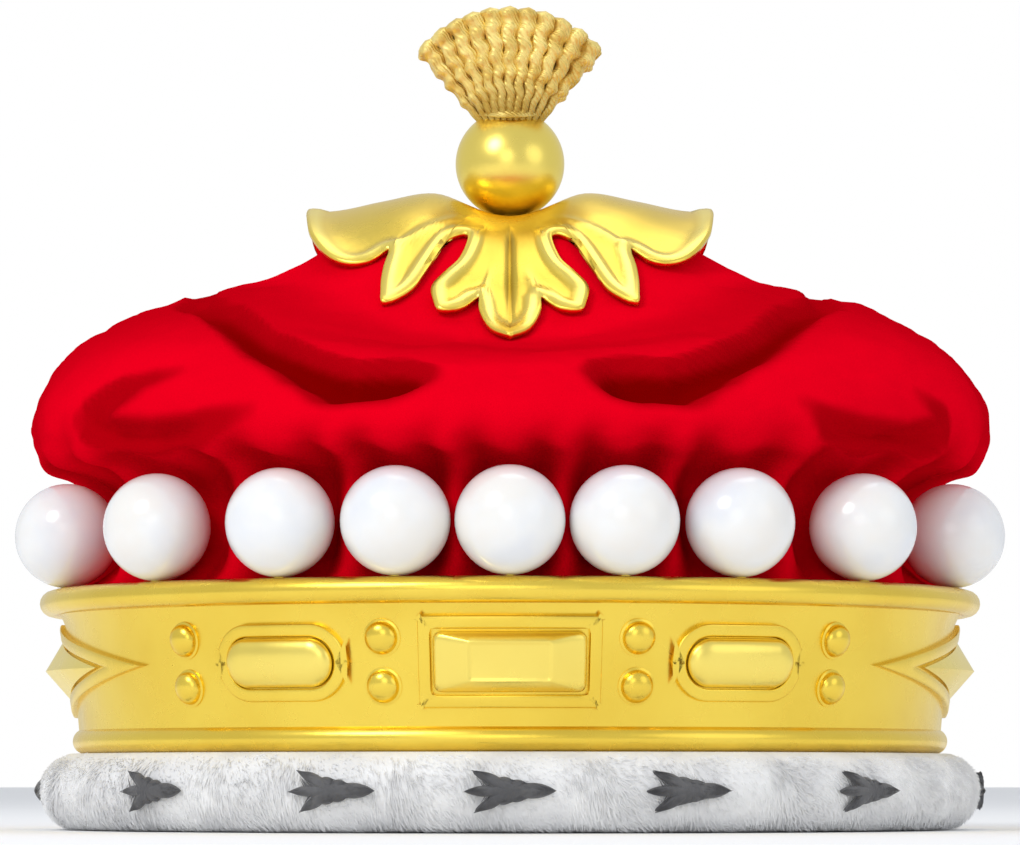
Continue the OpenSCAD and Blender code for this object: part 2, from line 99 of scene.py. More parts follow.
# The fur roll and the tails sewn round it.
ROLL_RING_R = 93.6
ROLL_R = 9.0
ROLL_Z = 8.6
ROLL_INNER_R = 89.6
TAILS_AT = (0, 20.5, 46, 93, 134, 159.5, 180, 200.5, 226, 267, 314, 339.5)

# The cap, cut from a round of velvet, and the ball and tassel over it. The spread is in degrees.
CAP_SWELL = 8.2
CAP_WALL = 1.8
BALL_Z = 146.4
TASSEL_L = 28.9
TASSEL_SPREAD = 40

# The camera stands at the drawing's angle, just over the floor: pitch in degrees, lens for a
# sensor 36 mm wide.
CAMERA_AWAY = 1200
CAMERA_UP = 10
CAMERA_PITCH = 3.78
CAMERA_LENS = 193.0

# Sections of the cap: radius and height at the sides, then at the front and back, then the
# share of the swell between the pearls.
CAP_SECTIONS = np.array([
    (0, 131.8, 0, 131.8, 0),
    (8, 133.8, 7, 132, 0),
    (17, 137.9, 14, 131.4, 0),
    (28, 135.1, 23, 127.8, 0),
    (42, 126.4, 33, 119.6, 0),
    (54, 120.2, 42, 110.9, 0),
    (64, 117.9, 51, 104.4, 0),
    (76, 115, 63, 100.8, 0),
    (86, 110.7, 75.5, 98.6, 0),
    (95, 104.5, 87, 95.2, 0),
    (101.3, 97.2, 95.5, 90.6, 0),
    (104.3, 90, 100.5, 85.6, 0.05),
    (103.9, 83.2, 101.6, 81.6, 0.1),
    (101.2, 78.2, 98.8, 78, 0.15),
    (94, 75.8, 92.2, 75.6, 0.25),
    (86.4, 71.2, 86.4, 71.2, 0.6),
    (84.8, 65, 84.8, 65, 1),
    (86, 58.8, 86, 58.8, 0.95),
    (90.6, 54.2, 90.6, 54.2, 0.45),
    (95.2, 51, 95.2, 51, 0.05),
    (95.68, 46, 95.68, 46, 0),
    (93.58, 32, 93.58, 32, 0),
    (91.18, 16.05, 91.18, 16.05, 0),
])

# Folds over the cap's front half: azimuth, section, depth, half-width.
RIGHT_CREASE = [(88, 6.2, 2, 4.5), (68.4, 6.9, 3.6, 4.5), (57, 7.1, 4.2, 5), (45, 7.8, 4.6, 5),
                (34.7, 8.6, 5, 5.5), (26.4, 9.3, 6, 6), (21, 9.7, 7.2, 7), (16, 9.5, 8.4, 7.5)]
LEFT_CREASE = [(-a, t, d, w) for a, t, d, w in RIGHT_CREASE]
LEFT_CRESCENT = [(-46, 9.8, 1, 4), (-53, 10.5, 2.4, 4.5), (-59, 11.4, 3.2, 5), (-54, 12.2, 3.2, 5),
                 (-46, 12.4, 3, 5), (-39, 12, 2.4, 4.5), (-32, 11.2, 1, 4)]
RIGHT_CRESCENT = [(37, 10.9, 1, 4), (40, 11.8, 2.4, 4.5), (46, 12.4, 3.2, 5), (54, 12.5, 3.2, 5),
                  (61, 12, 3, 5), (62, 11.3, 2, 4.5), (58, 10.6, 1, 4)]

# Edge of the leaves over a quarter: azimuth, section reached, height over the velvet, azimuth
# of the root. Lobes that overhang a slot lie further round than their roots.
LEAF_EDGE = np.array([
    (0, 6.5, 1.9, 0), (4.6, 6.02, 1.9, 3.8), (8.3, 5.26, 1.8, 7), (9.2, 4.91, 1.7, 8.4),
    (13.3, 5.28, 1.8, 10.8), (18.2, 5.43, 1.9, 12.8), (20.8, 5.15, 1.9, 13.8),
    (23.2, 4.7, 1.9, 14.6), (21.3, 4.27, 1.8, 15.3), (18.9, 3.95, 1.8, 16),
    (18.4, 3.55, 1.7, 17.4), (19.6, 3.25, 1.7, 19.6), (23.5, 3.26, 1.7, 23.5),
    (26.6, 3.55, 1.7, 26.2), (27.3, 4.6, 1.9, 27), (29, 5.1, 2, 28.8), (31.9, 5.52, 2.2, 31),
    (35.1, 5.09, 2.1, 35.1), (40.4, 4.36, 1.9, 40.4), (44.1, 3.91, 1.8, 44.1),
    (46.3, 4.26, 1.9, 46.3), (50.3, 4.47, 2.3, 50.3), (56.2, 4.49, 3.6, 56.2),
    (66.8, 4.25, 6.3, 66.8), (78, 3.97, 8.2, 78), (90, 3.78, 9.8, 90)])
# Creases of the leaves, raised and painted lighter as highlights, from each notch towards the
# middle: azimuth, section, strength, half-width.
LEAF_CREASES = [
    [(9, 4.9, 1, 1.1), (7.4, 4.5, 0.8, 1), (5.6, 4.1, 0.2, 0.8)],
    [(44.1, 3.9, 1, 1.4), (39.5, 3.4, 1, 1.5), (33, 2.95, 0.9, 1.5), (26, 2.6, 0.2, 1.2)]]
# The groove down the middle of each long leaf.
LEAF_RIB = [(0, 3.1, 1, 0.9), (0, 4.6, 1, 0.9), (0, 5.9, 0.7, 0.5)]

# Outline of a fur tail: direction from its middle, reach.
TAIL_OUTLINE = [(0, 9.3), (24, 3.6), (75, 2.1), (130, 3.4), (154, 8.7), (165, 4.1), (181, 9.4),
                (196, 4.1), (209, 8.4), (231, 3.4), (280, 2.1), (336, 3.5), (360, 9.3)]


def sin_d(a):
    return np.sin(np.radians(a))


def cos_d(a):
    return np.cos(np.radians(a))


def mix(a, b, t):
    return a + (b - a) * t


def ease(x, low=0.0, high=1.0):
    """A smooth step from 0 at low to 1 at high."""
    x = np.clip((x - low) / (high - low), 0, 1)
    return x * x * (3 - 2 * x)


def polar(a, r, z):
    """Places at an azimuth, radius and height."""
    a, r, z = np.broadcast_arrays(a, r, z)
    return np.stack([r * sin_d(a), -r * cos_d(a), z], axis=-1)


def band_r(z):
    """Radius of the band's outer face at a height."""
    return BAND_LOW_R + BAND_FLARE * (z - LOW_WIRE_Z) / (UP_WIRE_Z - LOW_WIRE_Z)


def azimuth(turn):
    """Azimuth of a place on the ring of pearls, counted in even turns."""
    return turn - crowding(turn)


def crowding(turn):
    """How much closer the pearls stand at the front and back than at the sides."""
    return PEARL_CROWD * (sin_d(2 * turn) - sin_d(4 * turn) / 8)


def turn_at(a):
    """The even turn at an azimuth."""
    t = np.asarray(a, float)
    for _ in range(24):
        t = a + crowding(t)
    return t


def through(rows, t):
    """A smooth curve through the rows of a table, at row numbers t."""
    last = len(rows) - 1
    i = np.clip(np.floor(t).astype(int), 0, last - 1)
    f = (np.asarray(t) - i)[..., None]
    p0, p1 = rows[np.maximum(i - 1, 0)], rows[i]
    p2, p3 = rows[i + 1], rows[np.minimum(i + 2, last)]
    return 0.5 * (2 * p1 + (p2 - p0) * f + (2 * p0 - 5 * p1 + 4 * p2 - p3) * f ** 2
                  + (3 * p1 - p0 - 3 * p2 + p3) * f ** 3)


def cap_rz(turn, t):
    """Radius and height of the plain cap at an even turn and a section."""
    s = through(CAP_SECTIONS, t)
    w = sin_d(azimuth(turn)) ** 2
    swell = CAP_SWELL * s[..., 4] * sin_d(turn * PEARL_COUNT / 2) ** 4
    return mix(s[..., 2], s[..., 0], w) + swell, mix(s[..., 3], s[..., 1], w)


def cap_normal(turn, t):
    """The way out of the plain cap."""
    r1, z1 = cap_rz(turn, t + 0.02)
    r0, z0 = cap_rz(turn, np.maximum(t - 0.02, 0))
    out, up = -(z1 - z0), r1 - r0
    size = np.sqrt(out ** 2 + up ** 2)
    return polar(azimuth(turn), out / size, up / size)


def cap_plain(turn, t, lift=0.0):
    """Places on the cap before its folds, or that far over it."""
    r, z = cap_rz(turn, t)
    return polar(azimuth(turn), r, z) + np.asarray(lift)[..., None] * cap_normal(turn, t)


def fold_depth(points, fold, lift=0.0):
    """Depth of a fold at points on the plain cap, or that far over it."""
    rows = np.array(fold, float)
    places = cap_plain(turn_at(rows[:, 0]), rows[:, 1], lift)
    deep = np.zeros(len(points))
    for a, b, ra, rb in zip(places[:-1], places[1:], rows[:-1], rows[1:]):
        ab = b - a
        k = np.clip((points - a) @ ab / (ab @ ab), 0, 1)
        d = np.linalg.norm(points - a - k[:, None] * ab, axis=1)
        deep = np.maximum(deep, mix(ra[2], rb[2], k) * np.exp(-(d / mix(ra[3], rb[3], k)) ** 2))
    return deep


def all_folds(points):
    """Depth of the deepest fold at each point. The back has the front's folds, turned round."""
    turned = points * np.array([-1, -1, 1])
    return np.max([fold_depth(p, fold) for p in (points, turned)
                   for fold in (RIGHT_CREASE, LEFT_CREASE, LEFT_CRESCENT, RIGHT_CRESCENT)], axis=0)


# ---- mesh helpers


def coords(bm):
    return np.array([v.co[:] for v in bm.verts]) if bm.verts else np.zeros((0, 3))


def reshape(bm, rule):
    """Moves every vertex by a rule on an array of places."""
    for v, p in zip(bm.verts, rule(coords(bm))):
        v.co = p


def spun(profile, steps, closed=True):
    """A ring turned from a profile of (radius, height) in millimetres."""
    bm = bmesh.new()
    verts = [bm.verts.new((r, 0, z)) for r, z in profile]
    edges = [bm.edges.new(pair) for pair in zip(verts, verts[1:] + (verts[:1] if closed else []))
             if pair[0] != pair[1]]
    bmesh.ops.spin(bm, geom=verts + edges, cent=(0, 0, 0), axis=(0, 0, 1), angle=2 * math.pi,
                   steps=steps, use_merge=True)
    bmesh.ops.remove_doubles(bm, verts=bm.verts, dist=1e-5)
    return bm


def face_of(bm, points):
    return bm.faces.new([bm.verts.new((x, y, 0)) for x, y in points])


def rounded_box(length, height, corner, steps=4):
    out = []
    for cx, cy, start in ((1, -1, -90), (1, 1, 0), (-1, 1, 90), (-1, -1, 180)):
        for k in range(steps + 1):
            a = math.radians(start + 90 * k / steps)
            out.append((cx * (length / 2 - corner) + corner * math.cos(a),
                        cy * (height / 2 - corner) + corner * math.sin(a)))
    return out


def rhombus(length, height):
    return [(length / 2, 0), (0, height / 2), (-length / 2, 0), (0, -height / 2)]


def raised_frame(outline, width, rise=1.3, sink=0.8, edge=0.4):
    """A flat frame with rounded edges, drawn flat: x along the band, y up it, z out."""
    bm = bmesh.new()
    face = face_of(bm, outline)
    bm.normal_update()
    bmesh.ops.inset_region(bm, faces=[face], thickness=width, use_even_offset=True,
                           use_boundary=True)
    bmesh.ops.delete(bm, geom=[face], context="FACES_ONLY")
    made = bmesh.ops.extrude_face_region(bm, geom=bm.faces[:])["geom"]
    top = [v for v in made if isinstance(v, bmesh.types.BMVert)]
    bmesh.ops.translate(bm, verts=top, vec=(0, 0, rise + sink))
    bmesh.ops.translate(bm, verts=bm.verts, vec=(0, 0, -sink))
    bmesh.ops.recalc_face_normals(bm, faces=bm.faces)
    rims = [e for e in bm.edges if all(abs(v.co.z - rise) < 1e-4 for v in e.verts)
            and e.calc_face_angle(0) > 1]
    bmesh.ops.bevel(bm, geom=rims, offset=edge, offset_type="OFFSET", affect="EDGES", segments=3,
                    profile=0.5, material=-1)
    return bm


def sliced(bm, half, step=2.0):
    """Cuts across the length, so that the shape can bend."""
    n = max(1, int(half / step))
    for k in range(-n, n + 1):
        bmesh.ops.bisect_plane(bm, geom=bm.verts[:] + bm.edges[:] + bm.faces[:], dist=1e-4,
                               plane_co=(k * half / (n + 0.5), 0, 0), plane_no=(1, 0, 0))
    return bm


def bent_on_band(bm, at):
    """Bends a flat shape onto the band at an azimuth."""
    def rule(co):
        z = BAND_MID_Z + co[:, 1]
        return polar(at + np.degrees(co[:, 0] / band_r(BAND_MID_Z)), band_r(z) + co[:, 2], z)
    reshape(bm, rule)
    return bm


def merge_into(bm, other):
    """Adds one shape to another and frees it."""
    mesh = bpy.data.meshes.new("part")
    other.to_mesh(mesh)
    other.free()
    bm.from_mesh(mesh)
    bpy.data.meshes.remove(mesh)


def piece(name, bm, material, nodes, sharp=35.0, outward=True):
    """Makes the object, in metres, and hides the solids it stands for."""
    bmesh.ops.scale(bm, verts=bm.verts, vec=(MM, MM, MM))
    if outward:
        bmesh.ops.recalc_face_normals(bm, faces=bm.faces)
    mesh = bpy.data.meshes.new(name)
    bm.to_mesh(mesh)
    bm.free()
    mesh.shade_smooth()
    if sharp:
        mesh.set_sharp_from_angle(angle=math.radians(sharp))
    mesh.materials.append(material)
    obj = bpy.data.objects.new(name, mesh)
    bpy.context.scene.collection.objects.link(obj)
    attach(obj, "root")
    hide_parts(*nodes)
    return obj


def point_value(obj, name, values):
    """Keeps a number at each vertex for the material to read."""
    layer = obj.data.attributes.new(name, "FLOAT", "POINT")
    layer.data.foreach_set("value", np.asarray(values, dtype=np.float32))


def unit_rows(v):
    return v / np.maximum(np.linalg.norm(v, axis=1, keepdims=True), 1e-9)


def hairs(bm, roots, tips, width):
    """Adds a three-sided tapering hair from each root to its tip."""
    tuft = bmesh.new()
    bmesh.ops.create_cone(tuft, cap_ends=False, segments=3, radius1=1, radius2=0, depth=2)
    bmesh.ops.remove_doubles(tuft, verts=tuft.verts, dist=1e-4)
    each = 10.0
    count = 1
    while count < len(roots):
        made = bmesh.ops.duplicate(tuft, geom=tuft.verts[:] + tuft.edges[:] + tuft.faces[:])
        moved = [v for v in made["geom"] if isinstance(v, bmesh.types.BMVert)]
        bmesh.ops.translate(tuft, verts=moved, vec=(each * count, 0, 0))
        count *= 2
    spare = [v for v in tuft.verts if round(v.co.x / each) >= len(roots)]
    bmesh.ops.delete(tuft, geom=spare, context="VERTS")
    way = tips - roots
    side = unit_rows(np.cross(way, np.array([0.3, 0.2, 1.0])))
    other = unit_rows(np.cross(way, side))

    def rule(co):
        i = np.round(co[:, 0] / each).astype(int)
        x = co[:, 0] - i * each
        along = (co[:, 2:3] + 1) / 2
        return (roots[i] + way[i] * along + side[i] * (x * width)[:, None]
                + other[i] * (co[:, 1] * width)[:, None])
    reshape(tuft, rule)
    merge_into(bm, tuft)


# ---- finishes


class Finish:
    """A node material, built up a step at a time."""

    def __init__(self, name):
        self.material = bpy.data.materials.new(name)
        self.material.use_nodes = True
        self.tree = self.material.node_tree
        self.shader = self.tree.nodes["Principled BSDF"]
        self.place = self.add("ShaderNodeTexCoord").outputs["Object"]

    def add(self, kind, **values):
        node = self.tree.nodes.new(kind)
        for key, value in values.items():
            if key in node.inputs:
                node.inputs[key].default_value = value
            else:
                setattr(node, key, value)
        return node

    def link(self, a, b):
        self.tree.links.new(a, b)

    def set(self, **values):
        for key, value in values.items():
            self.shader.inputs[key.replace("_", " ")].default_value = value

    def noise(self, scale, detail=4.0, rough=0.5, stretch=None):
        node = self.add("ShaderNodeTexNoise", Scale=scale, Detail=detail, Roughness=rough)
        if stretch:
            mapping = self.add("ShaderNodeMapping")
            mapping.inputs["Scale"].default_value = stretch
            self.link(self.place, mapping.inputs["Vector"])
            self.link(mapping.outputs["Vector"], node.inputs["Vector"])
        else:
            self.link(self.place, node.inputs["Vector"])
        return node.outputs["Fac"]

    def ramp(self, source, stops):
        node = self.add("ShaderNodeValToRGB")
        while len(node.color_ramp.elements) < len(stops):
            node.color_ramp.elements.new(0.5)
        for element, (at, colour) in zip(node.color_ramp.elements, stops):
            element.position = at
            element.color = (*colour, 1) if len(colour) == 3 else colour
        self.link(source, node.inputs["Fac"])
        return node.outputs["Color"]

    def blend(self, amount, a, b, way="MIX"):
        node = self.add("ShaderNodeMix", data_type="RGBA", blend_type=way)
        for socket, value in ((node.inputs[0], amount), (node.inputs[6], a), (node.inputs[7], b)):
            if isinstance(value, bpy.types.NodeSocket):
                self.link(value, socket)
            elif isinstance(value, (int, float)):
                socket.default_value = value
            else:
                socket.default_value = (*value, 1)
        return node.outputs[2]

    def math(self, way, a, b=0.5):
        node = self.add("ShaderNodeMath", operation=way)
        for socket, value in zip(node.inputs, (a, b)):
            if isinstance(value, bpy.types.NodeSocket):
                self.link(value, socket)
            else:
                socket.default_value = value
        return node.outputs[0]

    def attribute(self, name):
        return self.add("ShaderNodeAttribute", attribute_name=name).outputs["Fac"]

    def bump(self, height, distance, strength=1.0, before=None):
        node = self.add("ShaderNodeBump", Distance=distance, Strength=strength)
        self.link(height, node.inputs["Height"])
        if before is not None:
            self.link(before, node.inputs["Normal"])
        self.link(node.outputs["Normal"], self.shader.inputs["Normal"])
        return node.outputs["Normal"]

    def colour(self, source):
        self.link(source, self.shader.inputs["Base Color"])


def gilt(name, colour, rough=0.24, worn=0.5, over=None):
    """Gilding: tiny hammer marks, fine scratches and a warmer, duller film in patches. A piece
    that has painted highlights and painted shade lays them over the ground."""
    f = Finish(name)
    f.set(Metallic=1.0)
    deep = tuple(c * k for c, k in zip(colour, (0.86, 0.76, 0.5)))
    film = f.ramp(f.noise(38, 5), [(0.38, (0, 0, 0)), (0.72, (1, 1, 1))])
    ground = f.blend(f.math("MULTIPLY", film, worn), colour, deep)
    f.colour(over(f, ground) if over else ground)
    scratch = f.noise(900, 3, 0.6, (1, 1, 0.12))
    marks = f.add("ShaderNodeMapRange")
    f.link(f.noise(90, 4), marks.inputs["Value"])
    marks.inputs["To Min"].default_value = rough - 0.07
    marks.inputs["To Max"].default_value = rough + 0.13
    f.link(marks.outputs["Result"], f.shader.inputs["Roughness"])
    first = f.bump(f.noise(160, 2), 0.00012, 0.5)
    f.bump(scratch, 0.00002, 0.5, first)
    return f.material


def velvet(name, colour, deep):
    """Silk velvet: short pile, brushed patches, and painted shade that darkens each fold."""
    f = Finish(name)
    f.set(Roughness=0.9, Sheen_Weight=0.1, Sheen_Roughness=0.4, Sheen_Tint=(1.0, 0.0, 0.02, 1),
          Specular_IOR_Level=0.0)
    brushed = f.ramp(f.noise(22, 5, 0.6), [(0.35, (0, 0, 0)), (0.7, (1, 1, 1))])
    mid = tuple(mix(c, d, 0.45) for c, d in zip(colour, deep))
    ground = f.blend(f.math("MULTIPLY", brushed, 0.28), colour, mid)
    # Painted shade: the colour goes to the deep colour where the cap's shade attribute is high.
    f.colour(f.blend(f.attribute("shade"), ground, deep))
    pile = f.noise(2600, 3, 0.7)
    nap = f.bump(f.noise(120, 5, 0.6), 0.0006, 0.35)
    f.bump(pile, 0.00022, 0.7, nap)
    return f.material


def pearl_skin(name, colour):
    """Pearl: a clear skin over a ground that drifts between cool and warm."""
    f = Finish(name)
    f.set(Roughness=0.22, Coat_Weight=0.6, Coat_Roughness=0.12, Subsurface_Weight=0.12,
          Subsurface_Radius=(0.004, 0.0035, 0.003), Sheen_Weight=0.15)
    cool = tuple(c * k for c, k in zip(colour, (0.93, 0.95, 1.0)))
    warm = tuple(c * k for c, k in zip(colour, (1.0, 0.97, 0.93)))
    f.colour(f.ramp(f.noise(60, 3), [(0.35, cool), (0.5, colour), (0.66, warm)]))
    f.bump(f.noise(220, 3), 0.00006, 0.4)
    return f.material


def fur(name, colour, root):
    """Short fur: darker roots in patches and fine hair over them."""
    f = Finish(name)
    f.set(Roughness=0.8, Sheen_Weight=0.3, Sheen_Roughness=0.5, Specular_IOR_Level=0.2)
    tone = f.noise(90, 5, 0.6)
    f.colour(f.ramp(tone, [(0.25, root), (0.62, colour)]))
    first = f.bump(f.noise(420, 4, 0.7, (1, 1, 0.45)), 0.0006, 0.6)
    f.bump(f.noise(1500, 3, 0.7), 0.0002, 0.5, first)
    return f.material


def gold_thread(name, colour):
    """Gold thread: a fine twist round each crimped lock, and painted shade that darkens the locks
    towards their feet.
    """
    f = Finish(name)
    f.set(Metallic=0.55, Roughness=0.42)
    dark = tuple(c * k for c, k in zip(colour, (0.72, 0.6, 0.35)))
    tone = f.ramp(f.noise(260, 4), [(0.3, dark), (0.6, colour)])
    # Painted shade: the locks darken to this colour towards their feet, as the tassel's shade
    # attribute says.
    root = tuple(c * k for c, k in zip(colour, (0.42, 0.32, 0.1)))
    f.colour(f.blend(f.attribute("shade"), tone, root))
    twist = f.add("ShaderNodeTexWave", Scale=520.0, Distortion=2.5, Detail=2.0)
    twist.bands_direction = "DIAGONAL"
    f.link(f.place, twist.inputs["Vector"])
    f.bump(twist.outputs["Fac"], 0.00018, 0.7)
    return f.material


# ---- what a user may change


class CoronetSizes(bpy.types.PropertyGroup):
    """Sizes that the pieces are made to"""
    frame_width: FloatProperty(name="Frame width", description="Width of the raised frames' border",
                               default=0.0026, min=0.002, max=0.003, unit="LENGTH")
    pearl: FloatProperty(name="Pearl", description="Diameter of a pearl", default=0.0224,
                         min=0.021, max=0.0236, unit="LENGTH")
    ball: FloatProperty(name="Ball", description="Diameter of the ball", default=0.024,
                        min=0.023, max=0.0245, unit="LENGTH")
    hair: FloatProperty(name="Hair", description="Length of the fur's hairs", default=0.0034,
                        min=0.001, max=0.006, unit="LENGTH")
    hair_count: IntProperty(name="Hairs", description="Number of hairs on the fur roll",
                            default=26000, min=0, max=40000)
    leaf: FloatProperty(name="Leaf", description="Thickness of the leaves", default=0.0013,
                        min=0.0008, max=0.002, unit="LENGTH")


def colour_prop(name, description, default):
    return FloatVectorProperty(name=name, description=description, subtype="COLOR", size=3,
                               min=0, max=1, default=default)


class CoronetColours(bpy.types.PropertyGroup):
    """Colours of the finishes"""
    gilt: colour_prop("Gilt", "Gilding of the circlet and leaves", (0.95, 0.70, 0.10))
    # Also the colour of the painted highlight on the leaves' margins and creases.
    bright: colour_prop("Bright gilt", "Burnished gilding of the settings and ball",
                        (1.0, 0.80, 0.18))
    velvet: colour_prop("Velvet", "The cap where it is lit", (0.86, 0.0, 0.012))
    # The velvet in painted shade, used in the folds and the other shaded parts of the cap.
    velvet_in_shade: colour_prop("Velvet in folds", "The cap in its folds", (0.22, 0.0, 0.0))
    pearl: colour_prop("Pearl", "The pearls", (0.90, 0.90, 0.89))
    fur: colour_prop("White fur", "The roll's fur", (0.92, 0.92, 0.92))
    tail: colour_prop("Dark fur", "The tails on the roll", (0.13, 0.13, 0.135))
    thread: colour_prop("Gold thread", "The tassel", (1.0, 0.80, 0.26))
    floor: colour_prop("Floor", "The floor", (0.97, 0.97, 0.97))


def sizes():
    return bpy.context.scene.coronet_sizes


def colours():
    return bpy.context.scene.coronet_colours


def finish(name, make):
    """A finish is made once and shared by its pieces."""
    return bpy.data.materials.get(name) or make(name)


def circlet_gilt():
    return finish("circlet_gilding", lambda n: gilt(n, tuple(colours().gilt)))


def bright_gilt():
    return finish("bright_gilt", lambda n: gilt(n, tuple(colours().bright), 0.27, 0.3))


def settings_at(*angles):
    """Numbers the settings of a kind from 1."""
    return list(enumerate(angles, 1))


OBLONGS = settings_at(0, 180)
OVALS = settings_at(29.2, 150.8, 209.2, 330.8)
LOZENGES = settings_at(90, 270)
FRAMES = ((OBLONGS, rounded_box(*OBLONG_FRAME, 1.2, 3), OBLONG_FRAME),
          (OVALS, rounded_box(*OVAL_FRAME, OVAL_FRAME[1] / 2 - 0.01, 12), OVAL_FRAME),
          (LOZENGES, rhombus(*LOZENGE_FRAME), LOZENGE_FRAME))


class MakeCirclet(bpy.types.Operator):
    """Turns the band with its two wires, and adds the frames, studs and posts"""
    bl_idname = "coronet.make_circlet"
    bl_label = "Circlet"

    def execute(self, context):
        def wire(cx, cz, start, stop, n=14):
            ways = [math.radians(mix(start, stop, k / n)) for k in range(n + 1)]
            return [(cx + WIRE_R * math.cos(a), cz + WIRE_R * math.sin(a)) for a in ways]
        inner = [(band_r(z) - BAND_WALL, z) for z in (17.2, 22, 30, 38, 45, UP_WIRE_Z)]
        face = [(band_r(z), z) for z in (44.5, 38, 32, 26)]
        bm = spun(inner + wire(UP_WIRE_RING_R, UP_WIRE_Z, 165, -128) + face
                  + wire(LOW_WIRE_RING_R, LOW_WIRE_Z, 60, -118), 288)
        width = sizes().frame_width / MM
        for places, outline, (length, _) in FRAMES:
            for _, at in places:
                rim = sliced(raised_frame(outline, width), length / 2)
                merge_into(bm, bent_on_band(rim, at))
        dome = [(0, 2.8)] + [(STUD_R * math.sin(a), 0.5 + 2.3 * math.cos(a))
                             for a in [math.radians(d) for d in range(12, 91, 13)]]
        flange = STUD_R + 0.5
        for at in STUDS_AT:
            for up in (-STUD_RISE, STUD_RISE):
                foot = [(STUD_R, 0.4), (flange, 0.25), (flange, -0.6)]
                stud = spun(dome + foot, 28, closed=False)
                bmesh.ops.translate(stud, verts=stud.verts, vec=(0, up, 0))
                merge_into(bm, bent_on_band(stud, at))
        for k in range(PEARL_COUNT):
            middle = polar(azimuth(k * 360 / PEARL_COUNT), PEARL_RING_R, (UP_WIRE_Z + PEARL_Z) / 2)
            bmesh.ops.create_cone(bm, cap_ends=True, segments=10, radius1=POST_R, radius2=POST_R,
                                  depth=PEARL_Z - UP_WIRE_Z, matrix=Matrix.Translation(middle))
        piece("circlet_metal", bm, circlet_gilt(), ["circlet"], 32)
        return {"FINISHED"}


class MakeSettings(bpy.types.Operator):
    """Makes the oblong, oval and lozenge bosses inside their frames"""
    bl_idname = "coronet.make_settings"
    bl_label = "Settings"

    def execute(self, context):
        for i, at in OBLONGS:
            bm = bmesh.new()
            top = face_of(bm, rounded_box(*OBLONG_BOSS, 1.6, 4))
            # Each step of the boss: its rise, then what is left of its length and height.
            for rise, sx, sy in ((1.2, 1, 1), (0.45, 0.97, 0.92), (0.2, 0.985, 0.97),
                                 (1.5, 0.57, 0.74)):
                made = bmesh.ops.extrude_discrete_faces(bm, faces=[top])
                top = made["faces"][0]
                bmesh.ops.translate(bm, verts=top.verts, vec=(0, 0, rise))
                bmesh.ops.scale(bm, verts=top.verts, vec=(sx, sy, 1))
            bm.normal_update()
            bmesh.ops.inset_region(bm, faces=[top], thickness=0.7, depth=-0.3)
            bmesh.ops.translate(bm, verts=bm.verts, vec=(0, 0, -0.05))
            rims = [e for e in bm.edges if min(v.co.z for v in e.verts) > 1
                    and len(e.link_faces) == 2 and e.calc_face_angle(0) > 0.35]
            bmesh.ops.bevel(bm, geom=rims, offset=0.16, offset_type="OFFSET", affect="EDGES",
                            segments=2, profile=0.5, material=-1)
            bent_on_band(sliced(bm, OBLONG_BOSS[0] / 2), at)
            piece(f"oblong_boss_{i}_gilt", bm, bright_gilt(), [f"oblong_boss_{i}"],
                  28)
        for i, at in OVALS:
            bm = bmesh.new()
            bmesh.ops.create_uvsphere(bm, u_segments=48, v_segments=24, radius=1)
            bmesh.ops.bisect_plane(bm, geom=bm.verts[:] + bm.edges[:] + bm.faces[:], dist=1e-4,
                                   plane_co=(0, 0, 0), plane_no=(0, 0, 1), clear_inner=True)

            def rule(co):
                rim = np.sqrt(co[:, 0] ** 2 + co[:, 1] ** 2)
                out = np.sign(np.round(co[:, 0], 4)) * OVAL_BOSS_HALF + co[:, 0] * OVAL_BOSS_R
                high = 0.9 + 2.5 * np.sqrt(np.maximum(0, 1 - rim ** 2.6))
                return np.stack([out, co[:, 1] * OVAL_BOSS_R, high], axis=-1)
            reshape(bm, rule)
            rim = [e for e in bm.edges if e.is_boundary]
            made = bmesh.ops.extrude_edge_only(bm, edges=rim)["geom"]
            bmesh.ops.translate(bm, verts=[v for v in made if isinstance(v, bmesh.types.BMVert)],
                                vec=(0, 0, -1.0))
            bmesh.ops.translate(bm, verts=bm.verts, vec=(0, 0, 0.2))
            piece(f"oval_boss_{i}_gilt", bent_on_band(sliced(bm, 12), at), bright_gilt(),
                  [f"oval_boss_{i}"], 40)
        for i, at in LOZENGES:
            bm = spun([(k / 8, 0) for k in range(9)], 64, closed=False)

            def rule(co):
                a = np.abs(np.arctan2(co[:, 1], co[:, 0])) / (math.pi / 2)
                share = np.hypot(co[:, 0], co[:, 1])
                x = (1 - a) * share * LOZENGE_BOSS_HALF[0]
                above = np.sign(np.round(co[:, 1], 6))
                y = (1 - np.abs(1 - a)) * above * share * LOZENGE_BOSS_HALF[1]
                return np.stack([x, y, mix(6.0, 1.0, share)], axis=-1)
            reshape(bm, rule)
            rim = [e for e in bm.edges if e.is_boundary]
            made = bmesh.ops.extrude_edge_only(bm, edges=rim)["geom"]
            bmesh.ops.translate(bm, verts=[v for v in made if isinstance(v, bmesh.types.BMVert)],
                                vec=(0, 0, -1.1))
            bent_on_band(bm, at)
            piece(f"lozenge_boss_{i}_gilt", bm, bright_gilt(), [f"lozenge_boss_{i}"],
                  12)
        return {"FINISHED"}


